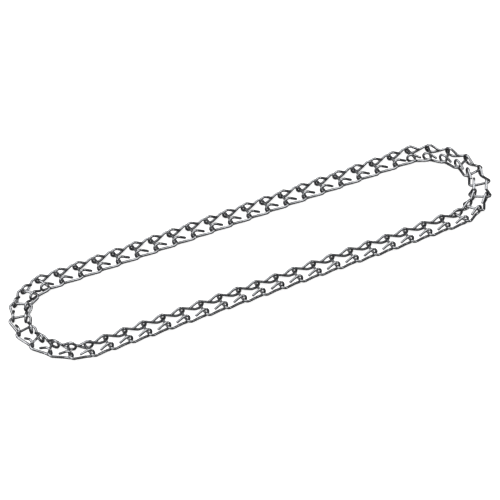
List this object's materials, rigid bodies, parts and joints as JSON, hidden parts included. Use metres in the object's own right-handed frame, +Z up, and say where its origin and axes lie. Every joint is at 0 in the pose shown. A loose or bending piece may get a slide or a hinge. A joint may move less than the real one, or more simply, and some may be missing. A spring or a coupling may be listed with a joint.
{
  "type": "ladder link chain",
  "caption": "Endless ladder-style chain of bent round-wire links, each rung held in the teardrop eyes of the link before it, laid out flat as a long loop.",
  "frame": {"origin": "middle of the loop, on the surface it lies on", "axes": "+X along the two straight runs, +Y across them towards the back run, +Z up, out of the loop's plane"},
  "size_m": [0.9088, 0.2238, 0.0196],
  "materials": {
    "plated_wire": "bright zinc-plated drawn steel wire"
  },
  "bodies": {
    "middle_links": {"front_link_09": "plated_wire", "back_link_09": "plated_wire"},
    "left_end": {"left_end_link_01": "plated_wire", "left_end_link_02": "plated_wire", "left_end_link_03": "plated_wire", "left_end_link_04": "plated_wire", "left_end_link_05": "plated_wire", "left_end_link_06": "plated_wire", "left_end_link_07": "plated_wire", "left_end_link_08": "plated_wire", "left_end_link_09": "plated_wire", "left_end_link_10": "plated_wire"},
    "front_link_01": {"front_link_01": "plated_wire"},
    "front_link_02": {"front_link_02": "plated_wire"},
    "front_link_03": {"front_link_03": "plated_wire"},
    "front_link_04": {"front_link_04": "plated_wire"},
    "front_link_05": {"front_link_05": "plated_wire"},
    "front_link_06": {"front_link_06": "plated_wire"},
    "front_link_07": {"front_link_07": "plated_wire"},
    "front_link_08": {"front_link_08": "plated_wire"},
    "front_link_10": {"front_link_10": "plated_wire"},
    "front_link_11": {"front_link_11": "plated_wire"},
    "front_link_12": {"front_link_12": "plated_wire"},
    "front_link_13": {"front_link_13": "plated_wire"},
    "front_link_14": {"front_link_14": "plated_wire"},
    "front_link_15": {"front_link_15": "plated_wire"},
    "front_link_16": {"front_link_16": "plated_wire"},
    "front_link_17": {"front_link_17": "plated_wire"},
    "front_link_18": {"front_link_18": "plated_wire"},
    "back_link_01": {"back_link_01": "plated_wire"},
    "back_link_02": {"back_link_02": "plated_wire"},
    "back_link_03": {"back_link_03": "plated_wire"},
    "back_link_04": {"back_link_04": "plated_wire"},
    "back_link_05": {"back_link_05": "plated_wire"},
    "back_link_06": {"back_link_06": "plated_wire"},
    "back_link_07": {"back_link_07": "plated_wire"},
    "back_link_08": {"back_link_08": "plated_wire"},
    "back_link_10": {"back_link_10": "plated_wire"},
    "back_link_11": {"back_link_11": "plated_wire"},
    "back_link_12": {"back_link_12": "plated_wire"},
    "back_link_13": {"back_link_13": "plated_wire"},
    "back_link_14": {"back_link_14": "plated_wire"},
    "back_link_15": {"back_link_15": "plated_wire"},
    "back_link_16": {"back_link_16": "plated_wire"},
    "back_link_17": {"back_link_17": "plated_wire"},
    "back_link_18": {"back_link_18": "plated_wire"},
    "right_end": {"right_end_link_01": "plated_wire", "right_end_link_02": "plated_wire", "right_end_link_03": "plated_wire", "right_end_link_04": "plated_wire", "right_end_link_05": "plated_wire", "right_end_link_06": "plated_wire", "right_end_link_07": "plated_wire", "right_end_link_08": "plated_wire", "right_end_link_09": "plated_wire", "right_end_link_10": "plated_wire"}
  },
  "joints": [
    {"name": "fold_01", "type": "hinge", "parent": "front_link_01", "child": "left_end", "pos_m": [-0.324, 0, 0.0089], "axis": [0, 1, 0], "range_deg": [-128, 140]},
    {"name": "fold_02", "type": "hinge", "parent": "front_link_02", "child": "front_link_01", "pos_m": [-0.288, 0, 0.0089], "axis": [0, -1, 0], "range_deg": [-140, 128]},
    {"name": "fold_03", "type": "hinge", "parent": "front_link_03", "child": "front_link_02", "pos_m": [-0.252, 0, 0.0089], "axis": [0, 1, 0], "range_deg": [-128, 140]},
    {"name": "fold_04", "type": "hinge", "parent": "front_link_04", "child": "front_link_03", "pos_m": [-0.216, 0, 0.0089], "axis": [0, -1, 0], "range_deg": [-140, 128]},
    {"name": "fold_05", "type": "hinge", "parent": "front_link_05", "child": "front_link_04", "pos_m": [-0.18, 0, 0.0089], "axis": [0, 1, 0], "range_deg": [-128, 140]},
    {"name": "fold_06", "type": "hinge", "parent": "front_link_06", "child": "front_link_05", "pos_m": [-0.144, 0, 0.0089], "axis": [0, -1, 0], "range_deg": [-140, 128]},
    {"name": "fold_07", "type": "hinge", "parent": "front_link_07", "child": "front_link_06", "pos_m": [-0.108, 0, 0.0089], "axis": [0, 1, 0], "range_deg": [-128, 140]},
    {"name": "fold_08", "type": "hinge", "parent": "front_link_08", "child": "front_link_07", "pos_m": [-0.072, 0, 0.0089], "axis": [0, -1, 0], "range_deg": [-140, 128]},
    {"name": "fold_09", "type": "hinge", "parent": "middle_links", "child": "front_link_08", "pos_m": [-0.036, 0, 0.0089], "axis": [0, 1, 0], "range_deg": [-128, 140]},
    {"name": "fold_10", "type": "hinge", "parent": "middle_links", "child": "front_link_10", "pos_m": [0, 0, 0.0089], "axis": [0, 1, 0], "range_deg": [-140, 128]},
    {"name": "fold_11", "type": "hinge", "parent": "front_link_10", "child": "front_link_11", "pos_m": [0.036, 0, 0.0089], "axis": [0, -1, 0], "range_deg": [-128, 140]},
    {"name": "fold_12", "type": "hinge", "parent": "front_link_11", "child": "front_link_12", "pos_m": [0.072, 0, 0.0089], "axis": [0, 1, 0], "range_deg": [-140, 128]},
    {"name": "fold_13", "type": "hinge", "parent": "front_link_12", "child": "front_link_13", "pos_m": [0.108, 0, 0.0089], "axis": [0, -1, 0], "range_deg": [-128, 140]},
    {"name": "fold_14", "type": "hinge", "parent": "front_link_13", "child": "front_link_14", "pos_m": [0.144, 0, 0.0089], "axis": [0, 1, 0], "range_deg": [-140, 128]},
    {"name": "fold_15", "type": "hinge", "parent": "front_link_14", "child": "front_link_15", "pos_m": [0.18, 0, 0.0089], "axis": [0, -1, 0], "range_deg": [-128, 140]},
    {"name": "fold_16", "type": "hinge", "parent": "front_link_15", "child": "front_link_16", "pos_m": [0.216, 0, 0.0089], "axis": [0, 1, 0], "range_deg": [-140, 128]},
    {"name": "fold_17", "type": "hinge", "parent": "front_link_16", "child": "front_link_17", "pos_m": [0.252, 0, 0.0089], "axis": [0, -1, 0], "range_deg": [-128, 140]},
    {"name": "fold_18", "type": "hinge", "parent": "front_link_17", "child": "front_link_18", "pos_m": [0.288, 0, 0.0089], "axis": [0, 1, 0], "range_deg": [-140, 128]},
    {"name": "fold_19", "type": "hinge", "parent": "front_link_18", "child": "right_end", "pos_m": [0.324, 0, 0.0089], "axis": [0, -1, 0], "range_deg": [-128, 140]},
    {"name": "back_fold_02", "type": "hinge", "parent": "back_link_02", "child": "back_link_01", "pos_m": [-0.288, 0, 0.0089], "axis": [0, -1, 0], "range_deg": [-140, 128]},
    {"name": "back_fold_03", "type": "hinge", "parent": "back_link_03", "child": "back_link_02", "pos_m": [-0.252, 0, 0.0089], "axis": [0, 1, 0], "range_deg": [-128, 140]},
    {"name": "back_fold_04", "type": "hinge", "parent": "back_link_04", "child": "back_link_03", "pos_m": [-0.216, 0, 0.0089], "axis": [0, -1, 0], "range_deg": [-140, 128]},
    {"name": "back_fold_05", "type": "hinge", "parent": "back_link_05", "child": "back_link_04", "pos_m": [-0.18, 0, 0.0089], "axis": [0, 1, 0], "range_deg": [-128, 140]},
    {"name": "back_fold_06", "type": "hinge", "parent": "back_link_06", "child": "back_link_05", "pos_m": [-0.144, 0, 0.0089], "axis": [0, -1, 0], "range_deg": [-140, 128]},
    {"name": "back_fold_07", "type": "hinge", "parent": "back_link_07", "child": "back_link_06", "pos_m": [-0.108, 0, 0.0089], "axis": [0, 1, 0], "range_deg": [-128, 140]},
    {"name": "back_fold_08", "type": "hinge", "parent": "back_link_08", "child": "back_link_07", "pos_m": [-0.072, 0, 0.0089], "axis": [0, -1, 0], "range_deg": [-140, 128]},
    {"name": "back_fold_09", "type": "hinge", "parent": "middle_links", "child": "back_link_08", "pos_m": [-0.036, 0, 0.0089], "axis": [0, 1, 0], "range_deg": [-128, 140]},
    {"name": "back_fold_10", "type": "hinge", "parent": "middle_links", "child": "back_link_10", "pos_m": [0, 0, 0.0089], "axis": [0, 1, 0], "range_deg": [-140, 128]},
    {"name": "back_fold_11", "type": "hinge", "parent": "back_link_10", "child": "back_link_11", "pos_m": [0.036, 0, 0.0089], "axis": [0, -1, 0], "range_deg": [-128, 140]},
    {"name": "back_fold_12", "type": "hinge", "parent": "back_link_11", "child": "back_link_12", "pos_m": [0.072, 0, 0.0089], "axis": [0, 1, 0], "range_deg": [-140, 128]},
    {"name": "back_fold_13", "type": "hinge", "parent": "back_link_12", "child": "back_link_13", "pos_m": [0.108, 0, 0.0089], "axis": [0, -1, 0], "range_deg": [-128, 140]},
    {"name": "back_fold_14", "type": "hinge", "parent": "back_link_13", "child": "back_link_14", "pos_m": [0.144, 0, 0.0089], "axis": [0, 1, 0], "range_deg": [-140, 128]},
    {"name": "back_fold_15", "type": "hinge", "parent": "back_link_14", "child": "back_link_15", "pos_m": [0.18, 0, 0.0089], "axis": [0, -1, 0], "range_deg": [-128, 140]},
    {"name": "back_fold_16", "type": "hinge", "parent": "back_link_15", "child": "back_link_16", "pos_m": [0.216, 0, 0.0089], "axis": [0, 1, 0], "range_deg": [-140, 128]},
    {"name": "back_fold_17", "type": "hinge", "parent": "back_link_16", "child": "back_link_17", "pos_m": [0.252, 0, 0.0089], "axis": [0, -1, 0], "range_deg": [-128, 140]},
    {"name": "back_fold_18", "type": "hinge", "parent": "back_link_17", "child": "back_link_18", "pos_m": [0.288, 0, 0.0089], "axis": [0, 1, 0], "range_deg": [-140, 128]}
  ],
  "couplings": [
    {"joint": "back_fold_02", "follows": "fold_02", "ratio": 1},
    {"joint": "back_fold_03", "follows": "fold_03", "ratio": 1},
    {"joint": "back_fold_04", "follows": "fold_04", "ratio": 1},
    {"joint": "back_fold_05", "follows": "fold_05", "ratio": 1},
    {"joint": "back_fold_06", "follows": "fold_06", "ratio": 1},
    {"joint": "back_fold_07", "follows": "fold_07", "ratio": 1},
    {"joint": "back_fold_08", "follows": "fold_08", "ratio": 1},
    {"joint": "back_fold_09", "follows": "fold_09", "ratio": 1},
    {"joint": "back_fold_10", "follows": "fold_10", "ratio": 1},
    {"joint": "back_fold_11", "follows": "fold_11", "ratio": 1},
    {"joint": "back_fold_12", "follows": "fold_12", "ratio": 1},
    {"joint": "back_fold_13", "follows": "fold_13", "ratio": 1},
    {"joint": "back_fold_14", "follows": "fold_14", "ratio": 1},
    {"joint": "back_fold_15", "follows": "fold_15", "ratio": 1},
    {"joint": "back_fold_16", "follows": "fold_16", "ratio": 1},
    {"joint": "back_fold_17", "follows": "fold_17", "ratio": 1},
    {"joint": "back_fold_18", "follows": "fold_18", "ratio": 1}
  ]
}
